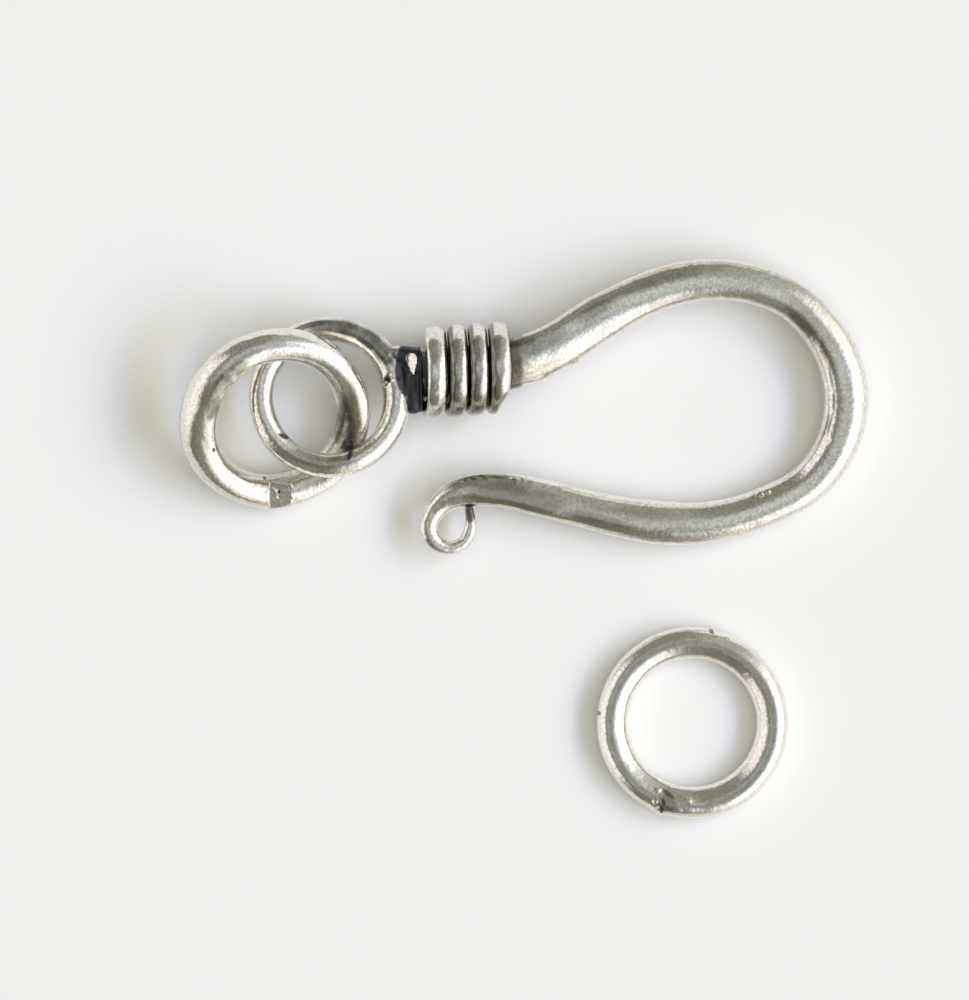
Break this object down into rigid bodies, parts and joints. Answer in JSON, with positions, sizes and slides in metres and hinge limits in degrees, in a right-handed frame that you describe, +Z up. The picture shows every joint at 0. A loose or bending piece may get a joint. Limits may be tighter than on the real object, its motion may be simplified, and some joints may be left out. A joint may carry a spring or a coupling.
{
  "type": "hook and eye clasp",
  "caption": "Silver wire hook and eye clasp: a hook with a wound neck and curled tip, a linked ring in its eye, and a loose catch ring.",
  "frame": {"origin": "on the table under the middle of the whole clasp as it lies", "axes": "+X from the linked ring along the hook to its bend, +Y across it towards the hook's upper arm, +Z up from the table"},
  "size_m": [0.0286, 0.0233, 0.0045],
  "materials": {
    "polished_silver": "hand-polished sterling silver with fine scratches, pits and brown tarnish where pieces touch",
    "blackened_silver": "sterling silver blackened in the grooves and polished back on the crowns"
  },
  "bodies": {
    "root": {"hook": "polished_silver", "neck_coil": "blackened_silver", "link_ring": "polished_silver", "catch_ring": "polished_silver"}
  },
  "joints": []
}
